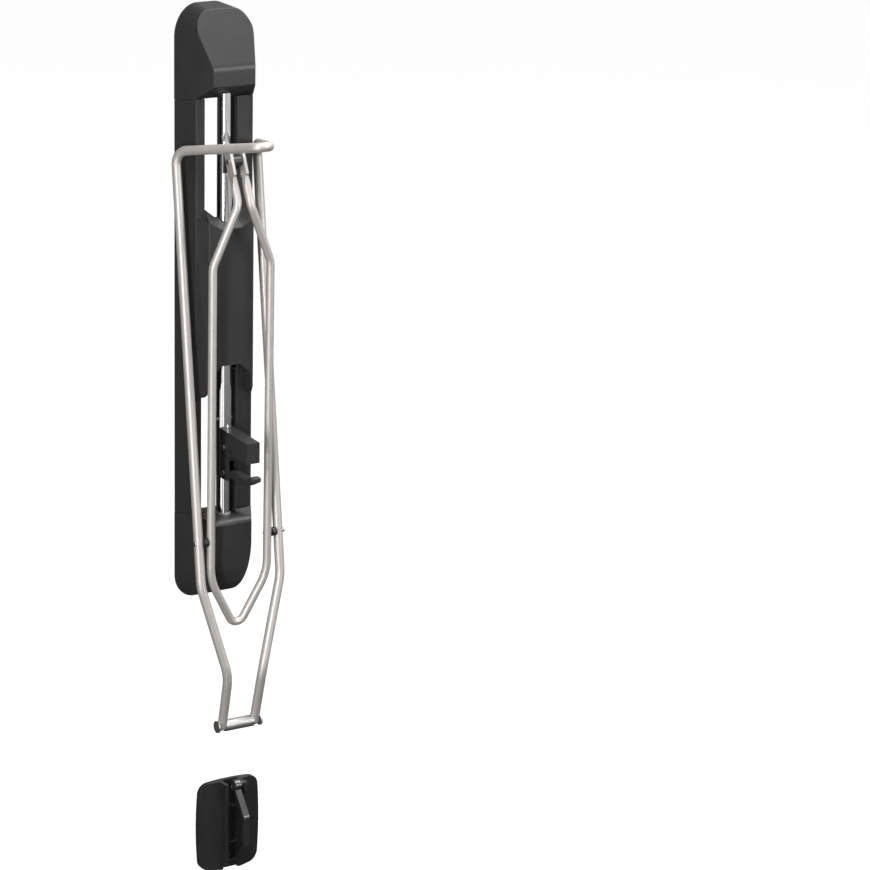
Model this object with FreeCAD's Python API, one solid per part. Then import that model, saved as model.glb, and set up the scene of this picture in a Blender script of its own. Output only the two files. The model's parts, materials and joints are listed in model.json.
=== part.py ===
"""Wall-mounted bike rack: housing, sliding carriage, two folding tube frames and a rear-wheel rest.

Frame: X to the right along the wall, +Y into the wall, +Z up. The origin is on the wall, midway between
the wall fixings. Distances "out" run from the wall into the room, so out = 100 is Y = -100. Millimetres.
"""
import FreeCAD, Part
import math
import os

V = FreeCAD.Vector
os.makedirs("parts", exist_ok=True)

# Clearances
run_fit = 0.05
free_gap = 0.4
seat_gap = 0.2
travel_gap = 2.0
beyond = 1.0

# Housing
housing_half = 58.0
housing_top = 508.0
housing_low = -513.0
seam_top = 350.5
seam_top_rise = 10.5
seam_bottom = -358.0
seam_bottom_rise = 14.0
rail_crease_half = 53.3
rail_crease_out = 66.0
rail_front_half = 43.0
rail_front_out = 70.0
wall_thick = 3.0
web_thick = 8.0
window_right = 22.0
upper_window_left = -38.5
upper_window_low = 142.0
lower_window_left = -44.0
lower_window_top = -100.0
window_chamfer = 9.0

# Centre cover, raised in front of the rails
cover_out = 91.5
cover_half = 42.3
cover_bevel = 1.5
cover_top = 160.0
cover_slope = 18.0
cover_facet_half = 39.0
cover_facet_low = 158.0
sleeve_notch_half = 18.6
sleeve_notch_back = 21.0
sleeve_notch = 14.0
cover_bottom = -145.0
cover_toe = 18.5
notch_top = -86.0
notch_half = 17.0
notch_shoulder = -97.0
notch_wide = 30.0
notch_knee = -107.0
leg_half = 37.5

# End caps
cap_out = 99.0
cap_front_half = 39.0
cap_corner_wide = 43.0
cap_corner_high = 55.0
cap_brow_wide = 27.5
cap_brow_high = 45.0
cap_drop = 8.0
cap_front = [(99.0, 384.5), (99.0, 411.0), (98.2, 417.0), (95.0, 423.0), (50.0, 505.5)]
cap_lip_out = 96.6
cap_lip = 382.0
foot_out = 98.6
foot_front_half = 36.5
foot_tip = -474.0
foot_corner_wide = 38.0
foot_corner_high = 43.0
foot_front_wide = 36.0
foot_front_high = 80.0
foot_brow_out = 68.0
foot_dish = -351.0
foot_front = [(91.0, -353.8), (95.5, -356.4), (98.6, -361.0), (98.6, -440.0), (95.0, -462.0), (84.0, -482.0),
              (66.0, -500.0), (46.0, -511.0)]

# Guide rod and carriage
rod_out = 67.0
rod_radius = 10.0
rod_top = 400.0
rod_bottom = -388.0
seat_radius = 17.0
seat_height = 22.0
collar_radius = 12.0
collar_height = 3.0
sleeve_radius = 13.0
sleeve_top = 276.0
sleeve_bottom = -281.0
bush_length = 26.0
bush_wall = 1.6
rivet_radius = 3.0
rivet_z = -183.0
bracket_half = 8.5
bracket_height = 44.0
bracket_drop = 2.0
pivot_out = 104.7
pivot_z = 261.5
pivot_boss = 9.0
pivot_pin = 4.0
head_radius = 4.8
head_height = 2.5

# Latch block and its catch
block_half = 12.0
block_front = 168.0
block_top = -197.0
block_slope = 5.0
block_chin = -237.0
block_bottom = -283.0
block_heel = 22.0
seat_out = 113.6
seat_z = -235.4
catch_half = 8.5
catch_pin_out = 86.5
catch_pin_z = -272.5
catch_pin = 3.0
catch_heel = 5.5
catch_tip_out = 180.0
catch_tip_z = -259.0
catch_low = -278.0
catch_jaw = 12.0
block_screw_radius = 5.0
block_screw_out = 87.8
block_screw_drop = 31.0
small_head = 4.5
small_head_height = 1.5

# Outer frame
outer_tube = 8.0
outer_half = 76.0
outer_top_out = 39.0
outer_top_z = 273.0
outer_apex_out = 222.0
outer_apex_z = 306.0
outer_bend_out = 128.0
outer_bend_z = -453.0
narrow_half = 33.0
narrow_out = 145.0
narrow_z = -612.0
cross_leg = 31.0
cross_out = 121.0
cross_z = -709.5
cross_radius = 10.0
cross_screw_depth = 10.0
cross_head = 10.5
cross_head_height = 3.0
corner_radius = 24.0
apex_radius = 15.0
low_bend = 90.0
neck_bend = 34.0

# Inner frame
inner_tube = 7.0
spacer_gap = 7.0
inner_top_out = 126.0
inner_foot_out = 121.0
inner_top_z = 93.0
inner_neck_out = 133.4
inner_neck_z = 195.0
inner_bend_z = -446.0
inner_apex_out = 112.0
inner_apex_z = -545.0
lug_thick = 5.0
lug_half = 10.0
lug_rise = 18.0
lug_length = 24.0
press_length = 52.0
fold_z = -377.0
fold_pin = 2.5
fold_head = 3.6
spacer_radius = 7.5

# Rear-wheel rest
rest_x = 45.0
rest_z = -942.0
rest_half = 61.5
rest_half_height = 83.0
rest_bulge = 4.0
rest_corner = 20.0
rest_edge = 5.0
rest_thick = 16.0
rest_floor = 8.0
rib_half = 20.5
rib_thick = 6.0
rib_out = 34.0
rib_over = 5.0
ear_wall = 3.0
rib_inset = 8.0
bridge_rises = (37.0, -30.5, -65.0)
bridge_half = 2.0
bridge_height = 5.0
bow_shift = 2.0
bow_half = 6.0
bow_thick = 8.0
bow_eye = 10.5
bow_pin_out = 30.0
bow_pin_drop = 5.0
bow_pin = 6.0
bow_pin_recess = 2.0
bow_reach = 66.0
bow_shoulder = 31.0
bow_elbow = -24.0
bow_foot = -64.0
bow_foot_out = 41.0
bow_bend = 9.0

# Wall fixings
bracket_plate = 4.0
fixing_radius = 3.25
fixing_top = 435.0
fixing_bottom = -435.0
fixing_half = 24.0
fixing_margin = 14.0
fixing_reach = 22.0
rest_fixing_left = 9.0
rest_fixing_rise = 4.0
rest_fixing_half = 51.0

lug_x = bracket_half + free_gap + lug_thick / 2.0
inner_half = outer_half - outer_tube - spacer_gap - inner_tube
fold_share = (inner_top_z - fold_z) / (inner_top_z - inner_bend_z)
fold_out = inner_top_out + (inner_foot_out - inner_top_out) * fold_share
bow_x = rest_x + bow_shift
bow_pin_z = rest_z + rest_half_height - bow_pin_drop
bush_radius = rod_radius + bush_wall
bush_bore = rod_radius + run_fit


def top_seam(out):
    """Height of the slanting joint between housing and top cap."""
    return seam_top + seam_top_rise * out / rail_crease_out


def bottom_seam(out):
    """Height of the slanting joint between housing and bottom cap."""
    return seam_bottom + seam_bottom_rise * out / rail_crease_out


def at(x, out, z):
    """A point given by its distance out from the wall."""
    return V(x, -out, z)


def face_of(points):
    return Part.Face(Part.makePolygon(list(points) + [points[0]]))


def plan(points, low, high):
    """A prism that stands along Z on a plan outline of (x, out) points."""
    return face_of([at(x, out, low) for x, out in points]).extrude(V(0, 0, high - low))


def side(points, left, right):
    """A prism along X on a side outline of (out, z) points."""
    return face_of([at(left, out, z) for out, z in points]).extrude(V(right - left, 0, 0))


def front(points, near, far):
    """A prism from the wall outwards on a front outline of (x, z) points."""
    return face_of([at(x, near, z) for x, z in points]).extrude(V(0, near - far, 0))


def block(x_span, out_span, z_span):
    x0, x1 = x_span
    out0, out1 = out_span
    z0, z1 = z_span
    return Part.makeBox(x1 - x0, out1 - out0, z1 - z0, at(x0, out1, z0))


def above(a, b, c, outline):
    """The room above a plane through three points, within a plan outline of (x, out) points."""
    normal = (b - a).cross(c - a)

    def lifted(x, out):
        run = at(x, out, 0) - a
        return at(x, out, a.z - (normal.x * run.x + normal.y * run.y) / normal.z)

    return face_of([lifted(x, out) for x, out in outline]).extrude(V(0, 0, housing_half))


def upright(radius, low, high):
    """A cylinder on the rod's axis."""
    return Part.makeCylinder(radius, high - low, at(0, rod_out, low), V(0, 0, 1))


def ring(radius, bore, low, high):
    return upright(radius, low, high).cut(upright(bore, low - beyond, high + beyond))


def across(radius, one_end, other_end, out, z):
    """A cylinder along X between two ends, given in either order."""
    left, right = sorted((one_end, other_end))
    return Part.makeCylinder(radius, right - left, at(left, out, z), V(1, 0, 0))


def both_ends(radius, near, far, out, z):
    """Two cylinders along X, one on each side."""
    return [across(radius, sign * near, sign * far, out, z) for sign in (-1, 1)]


def headed_pin(radius, reach, head, height, out, z):
    """A pin across the centre line with a round head at each end."""
    pin = across(radius, -reach, reach, out, z)
    return pin.fuse(both_ends(head, reach, reach + height, out, z)).removeSplitter()


def side_screws(radius, near, far, head, height, out, z):
    """Two pins, one on each side, with heads on their outer ends."""
    pins = both_ends(radius, near, far, out, z)
    heads = both_ends(head, far, far + height, out, z)
    return [pin.fuse(cap).removeSplitter() for pin, cap in zip(pins, heads)]


def wall_hole(x, depth, z):
    return Part.makeCylinder(fixing_radius, depth + 2 * beyond, at(x, -beyond, z), V(0, -1, 0))


def line(a, b):
    return Part.LineSegment(a, b).toShape()


def save(name, *solids):
    shape = solids[0] if len(solids) == 1 else Part.makeCompound(list(solids))
    shape.exportStep("parts/" + name + ".step")
    print(name, len(shape.Solids), round(shape.Volume / 1000.0, 2), shape.isValid())


def turns(points, radii):
    """For each inner point of a path: where its bend starts and ends, and the bend's centre."""
    for before, corner, after, radius in zip(points, points[1:], points[2:], radii):
        back = (before - corner).normalize()
        ahead = (after - corner).normalize()
        half = back.getAngle(ahead) / 2.0
        tangent = radius / math.tan(half)
        centre = corner + (back + ahead).normalize() * (radius / math.sin(half))
        yield corner + back * tangent, corner + ahead * tangent, centre


def straight_rod(start, end, radius):
    return Part.makeCylinder(radius, (end - start).Length, start, end - start)


def bent_rod(points, radii, radius):
    """Straight round runs joined by tangent bends, one bend radius for each inner point."""
    pieces = []
    start = points[0]
    for first, last, centre in turns(points, radii):
        pieces.append(straight_rod(start, first, radius))
        heading = (first - start).normalize()
        section = Part.Face(Part.Wire([Part.Circle(first, heading, radius).toShape()]))
        angle = math.degrees((first - centre).getAngle(last - centre))
        pieces.append(section.revolve(centre, (first - centre).cross(heading), angle))
        start = last
    pieces.append(straight_rod(start, points[-1], radius))
    return pieces[0].fuse(pieces[1:]).removeSplitter()


def mirrored(points):
    """The left half of a frame, its apex last, followed by the right half."""
    return points + [V(-p.x, p.y, p.z) for p in reversed(points[:-1])]


def press_flat(body, x, heading):
    """Presses a rod's end flat round the pivot: it thins towards the end, and a wide ear holds the hole."""
    pivot = at(x, pivot_out, pivot_z)
    width = V(0, -heading.z, heading.y) * lug_half
    thin = lug_thick / 2.0
    for sign in (-1, 1):
        spread = [(thin, -lug_rise), (thin, lug_length), (inner_tube, press_length),
                  (2 * inner_tube, press_length), (2 * inner_tube, -lug_rise)]
        outline = [pivot + V(sign * away, 0, 0) + heading * run - width * 2 for away, run in spread]
        body = body.cut(face_of(outline).extrude(width * 4))
    start = pivot - V(thin, 0, 0)
    root = start + heading * lug_length
    tip = start - heading * lug_rise
    ear = face_of([tip + width, root + width, root + heading * lug_half, root - width, tip - width])
    return body.fuse(ear.extrude(V(lug_thick, 0, 0)))


def drilled(body, pin, half, thick, out, z):
    """Cross holes for a pin through both legs of a frame."""
    reach = thick + beyond
    for hole in both_ends(pin + run_fit, half - reach, half + reach, out, z):
        body = body.cut(hole)
    return body


def rail_housing():
    outline = [(-housing_half, 0), (-rail_crease_half, rail_crease_out), (-rail_front_half, rail_front_out),
               (rail_front_half, rail_front_out), (rail_crease_half, rail_crease_out), (housing_half, 0)]
    far = rail_front_out + beyond
    ends = (housing_low, housing_top)
    between_seams = [(out, seam(out)) for seam, out in
                     ((bottom_seam, -beyond), (bottom_seam, far), (top_seam, far), (top_seam, -beyond))]
    body = plan(outline, *ends).common(side(between_seams, -housing_half, housing_half))
    body = body.cut(block((upper_window_left, window_right), (-beyond, far), (upper_window_low, housing_top)))
    low = bottom_seam(rail_crease_out)
    lower_window = [(lower_window_left, lower_window_top), (lower_window_left, low + window_chamfer),
                    (lower_window_left + window_chamfer, low),
                    (lower_window_left + window_chamfer, housing_low), (window_right, housing_low),
                    (window_right, lower_window_top)]
    body = body.cut(front(lower_window, -beyond, far))
    reach = rail_crease_out - wall_thick
    back = housing_half - wall_thick
    lean = (housing_half - rail_crease_half) / rail_crease_out * reach
    for sign, edge in ((-1, lower_window_left - wall_thick), (1, window_right + wall_thick)):
        hollow = [(sign * back, -beyond), (sign * (back - lean), reach), (edge, reach), (edge, -beyond)]
        body = body.cut(plan(hollow, *ends))
    middle = (lower_window_top + wall_thick, upper_window_low - wall_thick)
    body = body.cut(block((upper_window_left, window_right), (web_thick, far), middle))
    slot = sleeve_radius + travel_gap
    return body.cut(block((-slot, slot), (web_thick, far), ends)).removeSplitter()


def centre_cover():
    """A raised hood on the rails: sloping top with a notch round the sleeve, and a wide notch below."""
    root = rail_front_out + free_gap
    bevel_out = cover_out - cover_bevel
    flat = cover_half - cover_bevel
    foot = (rail_crease_half - free_gap, rail_crease_out + free_gap)
    half = [foot, (cover_half, bevel_out), (flat, cover_out)]
    outline = [(-x, out) for x, out in half] + half[::-1]
    outline += [(rail_front_half, root), (-rail_front_half, root)]
    cover = plan(outline, cover_bottom, cover_top + 2 * cover_slope)
    shelf = cover_top - sleeve_notch - wall_thick
    skin = cover_out - wall_thick
    cover = cover.cut(block((-leg_half, leg_half), (root - beyond, skin), (cover_bottom - beyond, shelf)))
    over = cover_out + beyond
    under = rail_crease_out - beyond
    ridge = cover_top + cover_slope
    floor = cover_top - sleeve_notch
    for sign in (-1, 1):
        corner = at(sign * cover_half, cover_out, cover_top)
        peak = at(sign * cover_facet_half, rail_front_out, ridge)
        crease = at(sign * rail_crease_half, rail_front_out, cover_facet_low)
        notch_back = at(sign * sleeve_notch_back, rail_front_out, ridge - sleeve_notch)
        notch_front = at(sign * sleeve_notch_half, cover_out, floor)
        shoulder = [(cover_half, over), (housing_half, over), (housing_half, under),
                    (cover_facet_half, under), (cover_facet_half, rail_front_out), (cover_half, cover_out)]
        slope = [(cover_half, cover_out), (cover_facet_half, rail_front_out), (cover_facet_half, under),
                 (sleeve_notch_back, under), (sleeve_notch_back, rail_front_out)]
        fall = [(cover_half, over), (cover_half, cover_out), (sleeve_notch_back, rail_front_out),
                (sleeve_notch_half, cover_out), (sleeve_notch_half, over)]
        bed = [(0, over), (sleeve_notch_half, over), (sleeve_notch_half, cover_out),
               (sleeve_notch_back, rail_front_out), (sleeve_notch_back, under), (0, under)]
        for three, room in (((corner, peak, crease), shoulder), ((corner, peak, notch_back), slope),
                            ((corner, notch_back, notch_front), fall),
                            ((notch_front, notch_back, at(0, cover_out, floor)), bed)):
            cover = cover.cut(above(*three, [(sign * x, out) for x, out in room]))
    low = cover_bottom - beyond
    right = [(notch_half, notch_top), (notch_wide, notch_shoulder), (leg_half, notch_knee), (leg_half, low)]
    notch = [(-x, z) for x, z in right[::-1]] + right
    cover = cover.cut(front(notch, under, over))
    toe = [(over, cover_bottom + cover_toe), (over, low), (rail_crease_out, low),
           (rail_crease_out, cover_bottom)]
    cover = cover.cut(side(toe, -housing_half, housing_half))
    return cover.cut(upright(sleeve_radius + travel_gap, low, housing_top)).removeSplitter()


def end_outline(half, out, seam, tip, wide, high):
    """A closed front outline: straight sides from the seam, elliptical corners and a flat tip."""
    round_pull = 0.5523
    rise = high if tip > seam else -high

    def corner(sign):
        start = at(sign * half, out, tip - rise)
        end = at(sign * (half - wide), out, tip)
        sharp = at(sign * half, out, tip)
        curve = Part.BezierCurve()
        curve.setPoles([start, start + (sharp - start) * round_pull, end + (sharp - end) * round_pull, end])
        return start, curve.toShape(), end

    left, left_curve, left_tip = corner(-1)
    right, right_curve, right_tip = corner(1)
    left_low, right_low = at(-half, out, seam), at(half, out, seam)
    edges = [line(left_low, left), left_curve, line(left_tip, right_tip), right_curve, line(right, right_low),
             line(right_low, left_low)]
    return Part.Wire(Part.sortEdges(edges)[0])


def top_cap_form(inset):
    low = seam_top - seat_gap
    base = end_outline(housing_half - inset, 0, low, housing_top - inset, cap_corner_wide, cap_corner_high)
    sections = [base]
    for half, out in ((rail_crease_half, rail_crease_out), (cap_front_half, cap_out)):
        wide = cap_brow_wide * half / rail_crease_half
        tip = housing_top - cap_drop * out / cap_out - inset
        sections.append(end_outline(half - inset, out, low, tip, wide, cap_brow_high))
    hood = Part.makeLoft(sections, True, True)
    lift = seat_gap + inset
    under = [(-beyond, top_seam(-beyond) + lift), (rail_crease_out, top_seam(rail_crease_out) + lift),
             (cap_lip_out - inset, cap_lip + inset)]
    face = [(out - inset, z) for out, z in cap_front]
    crown = face[-1][0]
    profile = under + face + [(crown, housing_top + beyond), (-beyond, housing_top + beyond)]
    return hood.common(side(profile, -housing_half - beyond, housing_half + beyond))


def top_cap():
    shell = top_cap_form(0.0).cut(top_cap_form(wall_thick))
    return shell.cut(upright(rod_radius + free_gap, seam_top, rod_top)).removeSplitter()


def bottom_cap_form(inset, brow):
    high = bottom_seam(foot_out)
    sections = []
    for half, out in ((housing_half, 0.0), (rail_crease_half, rail_crease_out), (foot_front_half, foot_out)):
        share = out / foot_out
        tip = housing_low + (foot_tip - housing_low) * share + inset
        wide = foot_corner_wide + (foot_front_wide - foot_corner_wide) * share - inset
        tall = foot_corner_high + (foot_front_high - foot_corner_high) * share
        sections.append(end_outline(half - inset, out, high, tip, wide, tall))
    hood = Part.makeLoft(sections, True, True)
    drop = seat_gap + inset
    top = [(-beyond, bottom_seam(-beyond) - drop), (foot_brow_out, brow - drop)]
    brow = [(out - inset, z - inset) for out, z in foot_front[:2]]
    face = [(out - inset, z) for out, z in foot_front[2:]]
    keel = face[-1][0]
    profile = top + brow + face + [(keel, housing_low - beyond), (-beyond, housing_low - beyond)]
    return hood.common(side(profile, -housing_half - beyond, housing_half + beyond))


def bottom_cap():
    dish = block((lower_window_left + wall_thick, window_right - wall_thick), (wall_thick, foot_out),
                 (foot_dish, housing_top))
    shell = bottom_cap_form(0.0, bottom_seam(foot_brow_out)).cut(dish)
    shell = shell.cut(bottom_cap_form(wall_thick, foot_dish))
    return shell.cut(upright(rod_radius + free_gap, rod_bottom, housing_top)).removeSplitter()


def wall_bracket(fixing_z, low, high, shelf_low):
    """A steel plate inside an end cap: it screws to the wall, and its shelf carries the rod's end."""
    plate_half = fixing_half + fixing_margin
    plate = block((-plate_half, plate_half), (0, bracket_plate), (low, high))
    for x in (-fixing_half, fixing_half):
        plate = plate.cut(wall_hole(x, bracket_plate, fixing_z))
    shelf_span = (shelf_low, shelf_low + bracket_plate)
    shelf = block((-seat_radius, seat_radius), (0, rod_out + seat_radius), shelf_span)
    return plate.fuse(shelf).removeSplitter()


def sleeve_rivets():
    """Rivet heads on both sides of the sleeve."""
    heads = both_ends(rivet_radius, sleeve_radius - beyond, sleeve_radius + beyond, rod_out, rivet_z)
    return [head.cut(upright(sleeve_radius, sleeve_bottom, sleeve_top)) for head in heads]


def upper_bracket():
    """A saddle on the front of the sleeve with a boss for the inner frame's pivot."""
    top = sleeve_top - bracket_drop
    low = top - bracket_height
    outline = [(rod_out, low), (rod_out, top), (pivot_out, pivot_z + pivot_boss),
               (pivot_out, pivot_z - pivot_boss)]
    boss = across(pivot_boss, -bracket_half, bracket_half, pivot_out, pivot_z)
    body = side(outline, -bracket_half, bracket_half).fuse(boss).removeSplitter()
    body = body.cut(upright(sleeve_radius + run_fit, low - beyond, top + beyond))
    reach = bracket_half + beyond
    return body.cut(across(pivot_pin + run_fit, -reach, reach, pivot_out, pivot_z))


def latch_block():
    """A block on the sleeve's foot with a round seat for the crossbar, open to the front below."""
    seat_radius = cross_radius + free_gap
    back = rod_out + sleeve_radius
    heel = back + block_heel
    outline = [(rod_out, block_top), (back, block_top), (block_front, block_top - block_slope),
               (block_front, block_chin), (seat_out, block_chin),
               (seat_out - seat_radius, seat_z - seat_radius), (heel, seat_z - 2 * seat_radius),
               (heel, block_bottom), (rod_out, block_bottom)]
    reach = block_half + beyond
    body = side(outline, -block_half, block_half)
    body = body.cut(across(seat_radius, -reach, reach, seat_out, seat_z))
    body = body.cut(upright(sleeve_radius + run_fit, block_bottom - beyond, block_top + beyond))
    slot = catch_half + free_gap
    slot_top = seat_z - seat_radius - travel_gap
    body = body.cut(block((-slot, slot), (rod_out, block_front), (block_bottom - beyond, slot_top)))
    return body.cut(across(catch_pin + run_fit, -reach, reach, catch_pin_out, catch_pin_z)).removeSplitter()


def catch_hook():
    """The hinged lower jaw: an arm from its pin to an upturned tip that keeps the crossbar in the seat."""
    jaw = catch_tip_z - catch_jaw * 0.6
    neck = catch_tip_out - 2 * catch_jaw
    outline = [(catch_pin_out, catch_pin_z - catch_heel), (catch_pin_out, catch_pin_z + catch_heel),
               (seat_out, jaw), (neck, jaw), (catch_tip_out - catch_jaw, catch_tip_z),
               (catch_tip_out, catch_tip_z), (catch_tip_out, jaw), (neck, catch_low)]
    hook = side(outline, -catch_half, catch_half)
    hook = hook.fuse(across(catch_heel, -catch_half, catch_half, catch_pin_out, catch_pin_z)).removeSplitter()
    reach = catch_half + beyond
    return hook.cut(across(catch_pin + run_fit, -reach, reach, catch_pin_out, catch_pin_z))


def inner_frame():
    heading = at(0, inner_neck_out - pivot_out, inner_neck_z - pivot_z).normalize()
    left = [at(-lug_x, pivot_out, pivot_z) + heading * lug_half, at(-lug_x, inner_neck_out, inner_neck_z),
            at(-inner_half, inner_top_out, inner_top_z), at(-inner_half, inner_foot_out, inner_bend_z),
            at(0, inner_apex_out, inner_apex_z)]
    radii = [neck_bend, neck_bend, low_bend, apex_radius, low_bend, neck_bend, neck_bend]
    body = bent_rod(mirrored(left), radii, inner_tube)
    for x in (-lug_x, lug_x):
        body = press_flat(body, x, heading)
    body = drilled(body, pivot_pin, lug_x, lug_thick / 2.0, pivot_out, pivot_z)
    return drilled(body, fold_pin, inner_half, inner_tube, fold_out, fold_z).removeSplitter()


def outer_frame():
    left = [at(-cross_leg, cross_out, cross_z), at(-narrow_half, narrow_out, narrow_z),
            at(-outer_half, outer_bend_out, outer_bend_z), at(-outer_half, outer_top_out, outer_top_z),
            at(0, outer_apex_out, outer_apex_z)]
    radii = [low_bend, low_bend, corner_radius, apex_radius, corner_radius, low_bend, low_bend]
    body = bent_rod(mirrored(left), radii, outer_tube)
    for x in (-cross_leg, cross_leg):
        body = body.fuse(Part.makeSphere(outer_tube, at(x, cross_out, cross_z)))
    body = drilled(body, pivot_pin, cross_leg, outer_tube, cross_out, cross_z)
    return drilled(body, fold_pin, outer_half, outer_tube, fold_out, fold_z).removeSplitter()


def largest(shape):
    return max(shape.Solids, key=lambda solid: solid.Volume)


def crossbar(outer):
    """The bar between the outer legs' ends, coped to fit them."""
    reach = cross_leg - outer_tube / 2.0
    bar = across(cross_radius, -reach, reach, cross_out, cross_z).cut(outer)
    return largest(bar).cut(across(pivot_pin + run_fit, -cross_leg, cross_leg, cross_out, cross_z))


def fold_spacers(outer):
    """Black spacers on the fold pins, hollowed to sit on the outer legs."""
    near = inner_half + inner_tube + free_gap
    rings = []
    for body in both_ends(spacer_radius, near, outer_half - outer_tube + beyond, fold_out, fold_z):
        body = body.cut(across(fold_pin + run_fit, -outer_half, outer_half, fold_out, fold_z)).cut(outer)
        rings.append(largest(body))
    return rings


def rest_plate():
    low, high = rest_z - rest_half_height, rest_z + rest_half_height
    corners = [at(rest_x + sx * (rest_half - rest_bulge), 0, rest_z + sz * (rest_half_height - rest_bulge))
               for sx, sz in ((-1, -1), (1, -1), (1, 1), (-1, 1))]
    middles = [at(rest_x, 0, low), at(rest_x + rest_half, 0, rest_z), at(rest_x, 0, high),
               at(rest_x - rest_half, 0, rest_z)]
    sides = zip(corners, middles, corners[1:] + corners[:1])
    outline = Part.Wire([Part.Arc(a, middle, b).toShape() for a, middle, b in sides])
    plate = Part.Face(outline).extrude(V(0, -rest_thick, 0))
    depth_edges = [e for e in plate.Edges if abs(e.tangentAt(e.FirstParameter).y) > 0.9]
    plate = plate.makeFillet(rest_corner, depth_edges)
    over = rib_out + beyond
    tall = (low - beyond, high + beyond)
    for sign in (-1, 1):
        brim = rest_x + sign * (rest_half + beyond)
        crest = rest_x + sign * rib_half
        plate = plate.cut(plan([(brim, rest_edge), (crest, rest_thick), (crest, over), (brim, over)], *tall))
    ear = bow_pin + ear_wall
    root = rest_floor - beyond
    left_rib = [(root, low + rib_inset), (rib_out, low + 2 * rib_inset), (rib_out, high + rib_over),
                (root, high + rib_over)]
    right_rib = left_rib[:2] + [(rib_out, bow_pin_z - 2 * ear), (bow_pin_out + ear, bow_pin_z - ear),
                                (bow_pin_out + ear, high + rib_over), left_rib[3]]
    channel = rib_half - rib_thick
    plate = plate.cut(block((rest_x - channel, rest_x + channel), (rest_floor, over), tall))
    plate = plate.fuse([side(left_rib, rest_x - rib_half, rest_x - channel),
                        side(right_rib, rest_x + channel, rest_x + rib_half)])
    for rise in bridge_rises:
        z = rest_z + rise
        plate = plate.fuse(block((rest_x - channel - beyond, rest_x + channel + beyond),
                                 (root, rest_thick + bridge_height), (z - bridge_half, z + bridge_half)))
    plate = plate.removeSplitter()
    for rise in (rest_fixing_rise - rest_fixing_half, rest_fixing_rise + rest_fixing_half):
        plate = plate.cut(wall_hole(rest_x - rest_fixing_left, rest_floor, rest_z + rise))
    reach = rest_x + rib_half + beyond
    return plate.cut(across(bow_pin + run_fit, rest_x, reach, bow_pin_out, bow_pin_z))


def rest_bow():
    """A bent bar that hangs from the pin between the ribs and leaves a finger gap behind it."""
    path = [at(bow_x, bow_pin_out, bow_pin_z), at(bow_x, bow_reach, rest_z + bow_shoulder),
            at(bow_x, bow_reach, rest_z + bow_elbow), at(bow_x, bow_foot_out, rest_z + bow_foot)]
    heading = (path[1] - path[0]).normalize()
    flat = V(bow_half, 0, 0)
    thick = heading.cross(V(1, 0, 0)) * (bow_thick / 2.0)
    corners = [path[0] - flat - thick, path[0] + flat - thick, path[0] + flat + thick, path[0] - flat + thick]
    section = face_of(corners)
    pieces = []
    start = path[0]
    for first, last, centre in turns(path, [bow_bend, bow_bend]):
        run = section.extrude(first - start)
        section.translate(first - start)
        heading = (first - start).normalize()
        angle = math.degrees((first - centre).getAngle(last - centre))
        axis = (first - centre).cross(heading)
        pieces += [run, section.revolve(centre, axis, angle)]
        section.rotate(centre, axis, angle)
        start = last
    pieces.append(section.extrude(path[-1] - start))
    eye = across(bow_eye, bow_x - bow_half, bow_x + bow_half, bow_pin_out, bow_pin_z)
    reach = bow_half + beyond
    hole = across(bow_pin + run_fit, bow_x - reach, bow_x + reach, bow_pin_out, bow_pin_z)
    return eye.fuse(pieces).removeSplitter().cut(hole)


outer = outer_frame()
collar_low = foot_dish + seat_gap
screw_z = block_top - block_screw_drop
save("rail_housing", rail_housing())
save("centre_cover", centre_cover())
save("top_cap", top_cap())
save("bottom_cap", bottom_cap())
save("top_wall_bracket", wall_bracket(fixing_top, seam_top + 2 * wall_thick, fixing_top + fixing_reach,
                                      rod_top))
save("bottom_wall_bracket", wall_bracket(fixing_bottom, fixing_bottom - fixing_reach,
                                         seam_bottom - 2 * wall_thick, rod_bottom - bracket_plate))
save("guide_rod", upright(rod_radius, rod_bottom, rod_top))
save("rod_seats", ring(seat_radius, bush_bore, rod_top - seat_height, rod_top),
     ring(seat_radius, bush_bore, rod_bottom, rod_bottom + seat_height))
save("rod_collar", ring(collar_radius, bush_bore, collar_low, collar_low + collar_height))
save("carriage_sleeve", ring(sleeve_radius, bush_radius + run_fit, sleeve_bottom, sleeve_top))
save("sleeve_bushes", ring(bush_radius, bush_bore, sleeve_bottom, sleeve_bottom + bush_length),
     ring(bush_radius, bush_bore, sleeve_top - bush_length, sleeve_top))
save("sleeve_rivets", *sleeve_rivets())
save("upper_bracket", upper_bracket())
save("pivot_screw", headed_pin(pivot_pin, lug_x + lug_thick / 2.0 + seat_gap, head_radius, head_height,
                               pivot_out, pivot_z))
save("latch_block", latch_block())
save("block_screws", *both_ends(block_screw_radius, block_half, block_half + head_height, block_screw_out,
                                screw_z))
save("catch_hook", catch_hook())
save("catch_pin", headed_pin(catch_pin, block_half, small_head, small_head_height, catch_pin_out,
                             catch_pin_z))
save("inner_frame", inner_frame())
save("outer_frame", outer)
save("crossbar", crossbar(outer))
save("crossbar_screws", *side_screws(pivot_pin, cross_leg - outer_tube - cross_screw_depth,
                                     cross_leg + outer_tube + seat_gap, cross_head, cross_head_height,
                                     cross_out, cross_z))
save("fold_pins", *side_screws(fold_pin, inner_half - inner_tube - free_gap,
                               outer_half + outer_tube + seat_gap, fold_head, small_head_height, fold_out,
                               fold_z))
save("fold_spacers", *fold_spacers(outer))
save("rest_plate", rest_plate())
save("rest_bow", rest_bow())
save("rest_pin", across(bow_pin, bow_x - bow_half + bow_pin_recess, rest_x + rib_half, bow_pin_out,
                        bow_pin_z))
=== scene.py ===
"""Dresses the wall-mounted bike rack: finishes, soft edges, small marks, light and camera. Metres."""
import json
import math

import bmesh
import bpy
from mathutils import Matrix, Vector


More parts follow.
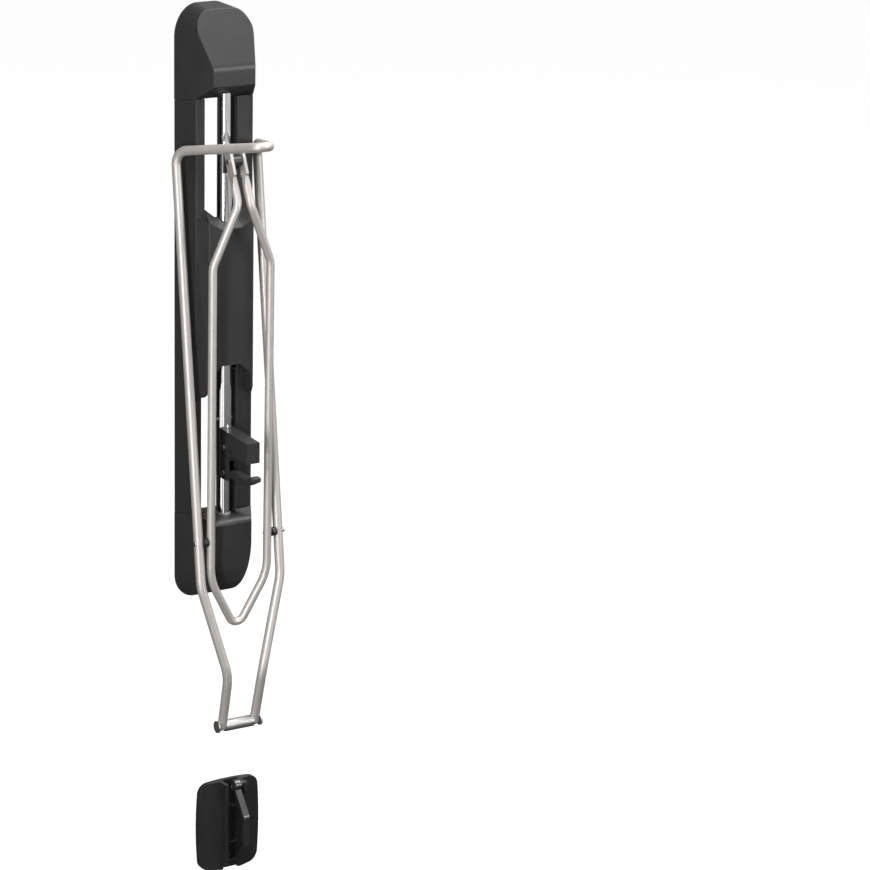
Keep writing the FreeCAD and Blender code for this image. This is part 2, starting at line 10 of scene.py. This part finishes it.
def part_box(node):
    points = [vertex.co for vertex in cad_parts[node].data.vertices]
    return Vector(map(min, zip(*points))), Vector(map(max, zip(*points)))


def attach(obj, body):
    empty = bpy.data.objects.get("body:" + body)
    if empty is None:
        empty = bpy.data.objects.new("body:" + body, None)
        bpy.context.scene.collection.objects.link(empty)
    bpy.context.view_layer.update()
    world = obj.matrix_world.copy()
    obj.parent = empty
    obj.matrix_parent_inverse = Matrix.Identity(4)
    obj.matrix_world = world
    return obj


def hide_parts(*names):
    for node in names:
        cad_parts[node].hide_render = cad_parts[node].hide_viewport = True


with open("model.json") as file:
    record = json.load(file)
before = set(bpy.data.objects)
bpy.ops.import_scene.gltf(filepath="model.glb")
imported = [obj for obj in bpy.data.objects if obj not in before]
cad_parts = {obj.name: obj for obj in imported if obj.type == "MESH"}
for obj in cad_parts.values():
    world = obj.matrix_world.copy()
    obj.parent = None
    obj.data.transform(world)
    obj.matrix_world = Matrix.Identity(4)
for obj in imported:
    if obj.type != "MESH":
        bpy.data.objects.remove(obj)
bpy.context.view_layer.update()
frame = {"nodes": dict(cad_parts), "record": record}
nodes = frame["nodes"]
slots = {row["node"]: row["material_slot"] for row in frame["record"]["subparts"]}

# The photograph's view: angles in degrees, lengths in metres, sensor and lens in millimetres
view_azimuth = 32.58
view_elevation = 16.13
view_roll = 1.19
view_distance = 6.003
view_right = 0.392
view_up = 0.0935
view_height = -0.3275
view_reach = 100.0
sensor = 36.0
lens = 146.1

# The floor, well below the rack and far wider than the view
floor_height = -1.6
floor_half = 30.0

# Reflections show a dark corner at the back left, and the back counts this much more than the left
back_weight = 1.6

# Rounding: near points join, edges under the flat angle go, and edges over the crisp angle are rounded
weld_reach = 1e-6
flat_angle = math.radians(0.5)
crisp_angle = math.radians(28)
round_steps = 3
round_widths = {
    "bottom_cap": 0.0025,
    "rail_housing": 0.0015,
    "latch_block": 0.0015,
    "catch_hook": 0.0012,
    "upper_bracket": 0.001,
    "rest_bow": 0.002,
    "top_cap": 0.0025,
    "centre_cover": 0.0012,
    "rest_plate": 0.0025,
}

# The top cap's crease and its panel's rim, along which a line of shade is painted: heights above the cap's
# lower edge, depths behind its front
crease_low = 0.05
crease_high = 0.08
crease_depth = 0.009
crease_length = 0.07
crease_angle = math.radians(5)
crease_round = 0.004
rim_low = 0.0323
rim_depth = 0.054
rim_angle = math.radians(50)
rim_shade_width = 0.0014
rim_steps = 2

# The centre cover's sunk corner facets, told by their normals, and how far down its top is painted with
# shade, a dark finish for the shade inside it
facet_side = 0.7
facet_least_rise = 0.4
facet_most_rise = 0.7
facet_border = 0.002
facet_sink = 0.0025
painted_shade_rise = 0.6
painted_shade_drop = 0.0377

# The rest's ribs are cut down by this much, a hair below the top of its plate, so that both end level
rib_cut = 0.0052

# The dark hexagons on screw heads, painted shade for their key sockets: their share of the head's radius, and
# how far they stand off it
hexagon_share = 0.5
hexagon_stand = 0.0001


def camera_axes():
    """Right, up and back of the rolled camera."""
    azimuth = math.radians(view_azimuth)
    elevation = math.radians(view_elevation)
    roll = math.radians(view_roll)
    back = Vector((-math.sin(azimuth) * math.cos(elevation),
                   -math.cos(azimuth) * math.cos(elevation),
                   math.sin(elevation)))
    right = Vector((math.cos(azimuth), -math.sin(azimuth), 0.0))
    up = back.cross(right)
    rolled_right = right * math.cos(roll) + up * math.sin(roll)
    rolled_up = up * math.cos(roll) - right * math.sin(roll)
    return rolled_right, rolled_up, back


def make_camera():
    """The photograph's camera, which has the rack at the left of its frame."""
    right, up, back = camera_axes()
    place = right * view_right + up * view_up + back * view_distance + Vector((0, 0, view_height))
    data = bpy.data.cameras.new("camera")
    data.sensor_width = sensor
    data.lens = lens
    data.clip_end = view_reach
    camera = bpy.data.objects.new("camera", data)
    bpy.context.scene.collection.objects.link(camera)
    turn = Matrix((right, up, back)).transposed().to_4x4()
    camera.matrix_world = Matrix.Translation(place) @ turn
    bpy.context.scene.camera = camera


class Steps:
    """Adds and joins the nodes of one shader."""

    def __init__(self, tree):
        self.tree = tree

    def add(self, kind):
        return self.tree.nodes.new(kind)

    def join(self, source, target):
        self.tree.links.new(source, target)


class Finish(Steps):
    """A material with one principled shader, built up by short steps."""

    def __init__(self, name):
        self.material = bpy.data.materials.new(name)
        self.material.use_nodes = True
        super().__init__(self.material.node_tree)
        self.shader = self.tree.nodes["Principled BSDF"]
        self.place = self.add("ShaderNodeTexCoord").outputs["Object"]

    def set(self, **values):
        """Values for shader sockets, with underscores for spaces in their names."""
        for key, value in values.items():
            self.shader.inputs[key.replace("_", " ")].default_value = value
        return self

    def noise(self, scale, detail=3.0, stretch=(1, 1, 1)):
        """Noise that sits still on the object."""
        mapping = self.add("ShaderNodeMapping")
        mapping.inputs["Scale"].default_value = stretch
        self.join(self.place, mapping.inputs["Vector"])
        noise = self.add("ShaderNodeTexNoise")
        noise.inputs["Scale"].default_value = scale
        noise.inputs["Detail"].default_value = detail
        self.join(mapping.outputs["Vector"], noise.inputs["Vector"])
        return noise.outputs["Fac"]

    def ramp(self, factor, values, span=(0.3, 0.7)):
        """Blends between two values, greys or colours, over a span of the factor."""
        ramp = self.add("ShaderNodeValToRGB")
        for element, place, value in zip(ramp.color_ramp.elements, span, values):
            element.position = place
            element.color = (value, value, value, 1) if isinstance(value, float) else (*value, 1)
        self.join(factor, ramp.inputs["Fac"])
        return ramp.outputs["Color"]

    def colour(self, output):
        self.join(output, self.shader.inputs["Base Color"])

    def rough(self, output):
        self.join(output, self.shader.inputs["Roughness"])

    def bump(self, output, strength, depth):
        bump = self.add("ShaderNodeBump")
        bump.inputs["Strength"].default_value = strength
        bump.inputs["Distance"].default_value = depth
        self.join(output, bump.inputs["Height"])
        self.join(bump.outputs["Normal"], self.shader.inputs["Normal"])


def fine_grained(name, tones, roughness, grain, strength, shine=0.3):
    """Plastic or paint with a cloudy tone, an uneven gloss and a fine grain."""
    finish = Finish(name).set(Specular_IOR_Level=shine)
    finish.colour(finish.ramp(finish.noise(scale=14.0, detail=4.0), tones))
    finish.rough(finish.ramp(finish.noise(scale=60.0), roughness))
    finish.bump(finish.noise(scale=grain, detail=2.0), strength, depth=0.0004)
    return finish.material


def powder_coat(name, tones):
    """Satin paint with a fine sparkle."""
    finish = Finish(name).set(Metallic=0.45)
    finish.colour(finish.ramp(finish.noise(scale=1500.0, detail=2.0), tones, span=(0.35, 0.65)))
    finish.rough(finish.ramp(finish.noise(scale=45.0), (0.4, 0.47)))
    finish.bump(finish.noise(scale=1800.0, detail=1.0), strength=0.1, depth=0.0002)
    return finish.material


def bright_metal(name, tones, roughness, stretch):
    """Bare or plated metal with fine lines along one axis."""
    finish = Finish(name).set(Metallic=1.0)
    lines = finish.noise(scale=300.0, stretch=stretch)
    finish.colour(finish.ramp(lines, tones))
    finish.rough(finish.ramp(lines, roughness))
    finish.bump(lines, strength=0.02, depth=0.0001)
    return finish.material


def rubber(name):
    """Dull black with a fine grain."""
    finish = Finish(name)
    finish.colour(finish.ramp(finish.noise(scale=80.0), (0.006, 0.012)))
    finish.rough(finish.ramp(finish.noise(scale=200.0), (0.5, 0.65)))
    finish.bump(finish.noise(scale=2200.0, detail=2.0), strength=0.2, depth=0.0003)
    return finish.material


def make_finishes():
    """The finishes by slot. Tones run from dark to light, and roughness from the least to the most."""
    return {
        "black_plastic": fine_grained("black_plastic", tones=(0.03, 0.036), roughness=(0.3, 0.34),
                                      grain=2600.0, strength=0.12),
        "rest_plastic": fine_grained("rest_plastic", tones=(0.016, 0.022), roughness=(0.26, 0.34),
                                     grain=1500.0, strength=0.12, shine=0.65),
        "bush_plastic": fine_grained("bush_plastic", tones=(0.5, 0.6), roughness=(0.4, 0.5),
                                     grain=2000.0, strength=0.1),
        "black_metal": fine_grained("black_metal", tones=(0.03, 0.036), roughness=(0.35, 0.45),
                                    grain=3000.0, strength=0.1),
        "grey_tube": powder_coat("grey_tube", tones=((0.52, 0.48, 0.456), (0.59, 0.545, 0.52))),
        "chrome": bright_metal("chrome", tones=((0.66, 0.67, 0.70), (0.72, 0.73, 0.76)),
                               roughness=(0.06, 0.1), stretch=(1, 1, 0.05)),
        "steel": bright_metal("steel", tones=((0.38, 0.37, 0.36), (0.45, 0.44, 0.43)),
                              roughness=(0.48, 0.55), stretch=(0.1, 1, 1)),
        "rubber": rubber("rubber"),
    }


def dress_nodes(finishes):
    """Gives every CAD node the finish of its slot in the record."""
    for node, slot in slots.items():
        mesh = nodes[node].data
        mesh.materials.clear()
        mesh.materials.append(finishes[slot])


def soften(item, width):
    """Rounds the crisp edges of a piece."""
    weld = item.modifiers.new("weld", "WELD")
    weld.merge_threshold = weld_reach
    flat = item.modifiers.new("flat", "DECIMATE")
    flat.decimate_type = "DISSOLVE"
    flat.angle_limit = flat_angle
    bevel = item.modifiers.new("bevel", "BEVEL")
    bevel.width = width
    bevel.segments = round_steps
    bevel.limit_method = "ANGLE"
    bevel.angle_limit = crisp_angle
    item.modifiers.new("normals", "WEIGHTED_NORMAL").keep_sharp = False


def add_piece(name, form, body, materials):
    """Turns a form into a piece that rides on a body."""
    mesh = bpy.data.meshes.new(name)
    form.to_mesh(mesh)
    form.free()
    for material in materials:
        mesh.materials.append(material)
    piece = bpy.data.objects.new(name, mesh)
    bpy.context.scene.collection.objects.link(piece)
    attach(piece, body)
    return piece


def reworked(node, body, change, finish, shade_finish):
    """A copy of a CAD node's mesh that stands for it, reshaped by change, with a second, dark finish for
    painted shade.
    """
    form = bmesh.new()
    form.from_mesh(nodes[node].data)
    bmesh.ops.remove_doubles(form, verts=form.verts, dist=weld_reach)
    change(form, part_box(node))
    bmesh.ops.dissolve_degenerate(form, dist=weld_reach, edges=form.edges)
    piece = add_piece(node + "_form", form, body, (finish, shade_finish))
    piece.data.shade_smooth()
    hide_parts(node)
    return piece


def flush_ribs(form, box):
    """Brings the tops of the rest's ribs level with its plate."""
    top = box[1].z - rib_cut
    for point in form.verts:
        point.co.z = min(point.co.z, top)


def join_flat_faces(form):
    """Makes one face of those that lie in one plane."""
    bmesh.ops.dissolve_limit(form, angle_limit=flat_angle, verts=form.verts, edges=form.edges)


def ridges(form, angle, inside):
    """Edges that stand out by more than an angle and have both their ends inside."""
    return [edge for edge in form.edges if edge.is_manifold and edge.is_convex
            and edge.calc_face_angle() > angle and all(inside(point.co) for point in edge.verts)]


def panel_line(form, box):
    """Rounds the crease under the cap's front panel and draws a narrow line of painted shade along the
    panel's rim, a dark bevel for the shade of a groove.
    """
    low = box[0]

    def on_crease(place):
        return place.y < low.y + crease_depth and low.z + crease_low < place.z < low.z + crease_high

    def on_rim(place):
        return place.y < low.y + rim_depth and place.z > low.z + rim_low

    join_flat_faces(form)
    crease = [edge for edge in ridges(form, crease_angle, on_crease) if edge.calc_length() > crease_length]
    bmesh.ops.bevel(form, geom=crease, offset=crease_round, segments=round_steps, affect="EDGES",
                    profile=0.5, clamp_overlap=True)
    # Painted shade: the rim's narrow bevel takes the dark second finish, for the shade of a groove along the
    # panel.
    rim = ridges(form, rim_angle, on_rim)
    bmesh.ops.bevel(form, geom=rim, offset=rim_shade_width, segments=rim_steps, affect="EDGES",
                    profile=0.5, material=1)


def cover_recess(form, box):
    """Sinks the two corner facets at the top of the centre cover, and paints shade on them and on all that
    faces up there, a dark finish for the shade inside the cover's top.
    """
    painted_shade_low = box[1].z - painted_shade_drop
    join_flat_faces(form)
    corners = [face for face in form.faces if abs(face.normal.x) > facet_side
               and facet_least_rise < face.normal.z < facet_most_rise]
    bmesh.ops.inset_individual(form, faces=corners, thickness=facet_border, depth=-facet_sink)
    # Painted shade: the sunk facets and the faces near the top that face up take the dark second finish.
    for face in form.faces:
        if face in corners or face.normal.z > painted_shade_rise and face.calc_center_median().z > painted_shade_low:
            face.material_index = 1


def hexagon(name, body, place, radius, finish):
    """A flat hexagon that faces left, painted shade for the recessed key of a screw."""
    form = bmesh.new()
    bmesh.ops.create_circle(form, cap_ends=True, radius=radius, segments=6)
    turn = Matrix.Rotation(math.radians(-90), 3, "Y")
    bmesh.ops.rotate(form, verts=form.verts, cent=(0, 0, 0), matrix=turn)
    bmesh.ops.translate(form, verts=form.verts, vec=place)
    add_piece(name, form, body, (finish,))


def make_socket_shades(finish):
    """Dark hexagons on the carriage's left screw heads, painted shade for their key sockets. The block's
    screws share a height, so its two coincide.
    """
    for node in ("pivot_screw", "catch_pin", "block_screws"):
        low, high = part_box(node)
        radius = (high.y - low.y) / 2
        rises = (low.z + radius, high.z - radius) if node == "block_screws" else (low.z + radius,)
        for number, rise in enumerate(rises):
            place = (low.x - hexagon_stand, low.y + radius, rise)
            hexagon(node + "_socket_shade_" + str(number + 1), "carriage", place, radius * hexagon_share, finish)


class Backdrop(Steps):
    """The world's shader or the floor's, both white to the camera."""

    def __init__(self, tree):
        super().__init__(tree)
        self.path = self.add("ShaderNodeLightPath").outputs

    def math(self, operation, first, second):
        node = self.add("ShaderNodeMath")
        node.operation = operation
        for socket, value in zip(node.inputs, (first, second)):
            if isinstance(value, float):
                socket.default_value = value
            else:
                self.join(value, socket)
        return node.outputs[0]

    def spread(self, value, span, values):
        """Runs smoothly from the first of two values to the second over a span."""
        node = self.add("ShaderNodeMapRange")
        node.interpolation_type = "SMOOTHSTEP"
        for name, number in zip(("From Min", "From Max", "To Min", "To Max"), (*span, *values)):
            node.inputs[name].default_value = number
        self.join(value, node.inputs["Value"])
        return node.outputs["Result"]

    def mix(self, factor, first, second):
        node = self.add("ShaderNodeMixShader")
        self.join(factor, node.inputs["Fac"])
        self.join(first, node.inputs[1])
        self.join(second, node.inputs[2])
        return node.outputs[0]

    def axes(self, place):
        """The coordinates of a place."""
        node = self.add("ShaderNodeSeparateXYZ")
        self.join(place, node.inputs[0])
        return node.outputs

    def back_left(self, axes):
        """Grows toward the back left."""
        return self.math("SUBTRACT", self.math("MULTIPLY", axes["Y"], back_weight), axes["X"])

    def show(self, light, reflected, white, output):
        """What lights the object, what reflections show, and white to the camera, also through glass."""
        seen = self.math("MAXIMUM", self.path["Is Camera Ray"], self.path["Is Transmission Ray"])
        look = self.mix(self.path["Is Glossy Ray"], light.outputs[0], reflected.outputs[0])
        look = self.mix(seen, look, white.outputs[0])
        self.join(look, self.tree.nodes[output].inputs["Surface"])


def make_world():
    """Bright above and dim below for the light, white to the camera, and a pale room for reflections."""
    world = bpy.data.worlds.new("studio")
    bpy.context.scene.world = world
    world.use_nodes = True
    step = Backdrop(world.node_tree)
    light = world.node_tree.nodes["Background"]
    room = step.add("ShaderNodeBackground")
    white = step.add("ShaderNodeBackground")
    for shader in (light, room, white):
        shader.inputs["Color"].default_value = (1, 1, 1, 1)
    axes = step.axes(step.add("ShaderNodeTexCoord").outputs["Generated"])
    step.join(step.spread(axes["Z"], span=(-0.5, 0.9), values=(0.05, 0.4)), light.inputs["Strength"])
    rise = step.spread(axes["Z"], span=(-0.2, 0.4), values=(0.4, 1.1))
    shade = step.spread(step.back_left(axes), span=(0.1, 1.2), values=(1.0, 0.08))
    step.join(step.math("MULTIPLY", rise, shade), room.inputs["Strength"])
    step.show(light, room, white, "World Output")


def floor_material():
    """White to the camera with the object's faint shadow, and darker close by in reflections."""
    material = bpy.data.materials.new("floor")
    material.use_nodes = True
    step = Backdrop(material.node_tree)
    plain = material.node_tree.nodes["Principled BSDF"]
    plain.inputs["Base Color"].default_value = (0.25, 0.25, 0.25, 1)
    plain.inputs["Roughness"].default_value = 0.9
    glow = step.add("ShaderNodeEmission")
    glow.inputs["Strength"].default_value = 0.85
    white = step.add("ShaderNodeAddShader")
    step.join(plain.outputs[0], white.inputs[0])
    step.join(glow.outputs[0], white.inputs[1])
    place = step.add("ShaderNodeTexCoord").outputs["Object"]
    away = step.add("ShaderNodeVectorMath")
    away.operation = "LENGTH"
    step.join(place, away.inputs[0])
    far = step.spread(away.outputs["Value"], span=(2.0, 12.0), values=(0.06, 0.75))
    shade = step.spread(step.back_left(step.axes(place)), span=(0.0, 6.0), values=(1.0, 0.15))
    pale = step.add("ShaderNodeEmission")
    step.join(step.math("MULTIPLY", far, shade), pale.inputs["Strength"])
    step.show(plain, pale, white, "Material Output")
    return material


def make_floor():
    """A plain pale floor."""
    mesh = bpy.data.meshes.new("floor")
    signs = ((-1, -1), (1, -1), (1, 1), (-1, 1))
    corners = [(x * floor_half, y * floor_half, floor_height) for x, y in signs]
    mesh.from_pydata(corners, [], [(0, 1, 2, 3)])
    floor = bpy.data.objects.new("floor", mesh)
    bpy.context.scene.collection.objects.link(floor)
    mesh.materials.append(floor_material())


def area_light(name, place, target, wide, high, power, lit=True):
    """A lamp, or with lit off a panel that only reflections see."""
    data = bpy.data.lights.new(name, "AREA")
    data.shape = "RECTANGLE"
    data.size = wide
    data.size_y = high
    data.energy = power
    lamp = bpy.data.objects.new(name, data)
    lamp.location = place
    lamp.rotation_euler = (Vector(target) - Vector(place)).to_track_quat("-Z", "Y").to_euler()
    lamp.visible_diffuse = lit
    bpy.context.scene.collection.objects.link(lamp)


def make_lights():
    """Two lamps above, a tall one at the left, and two panels for the gloss."""
    middle = (0, -0.1, -0.2)
    below = (0, -0.1, -0.5)
    area_light("key", (3.0, -0.9, 4.9), middle, wide=2.6, high=2.6, power=380)
    area_light("top", (-1.5, -1.6, 4.6), middle, wide=1.5, high=1.5, power=100)
    area_light("side", (-2.3, -2.2, 0.4), middle, wide=0.3, high=2.4, power=64)
    area_light("front", (2.6, -4.3, 0.85), middle, wide=1.0, high=0.8, power=80, lit=False)
    area_light("card", (-2.5, -1.6, -1.15), below, wide=3.4, high=0.8, power=15, lit=False)


make_camera()
finishes = make_finishes()
dress_nodes(finishes)
changes = {"top_cap": panel_line, "centre_cover": cover_recess, "rest_plate": flush_ribs}
for node, width in round_widths.items():
    item = nodes[node]
    if node in changes:
        # The dark rubber finish serves here as painted shade.
        item = reworked(node, "wall_unit", changes[node], finishes[slots[node]], finishes["rubber"])
    soften(item, width)
# Painted shade: flat dark hexagons stand for the screws' key sockets.
make_socket_shades(finishes["rubber"])
make_world()
make_floor()
make_lights()
bpy.context.scene.view_settings.view_transform = "Standard"
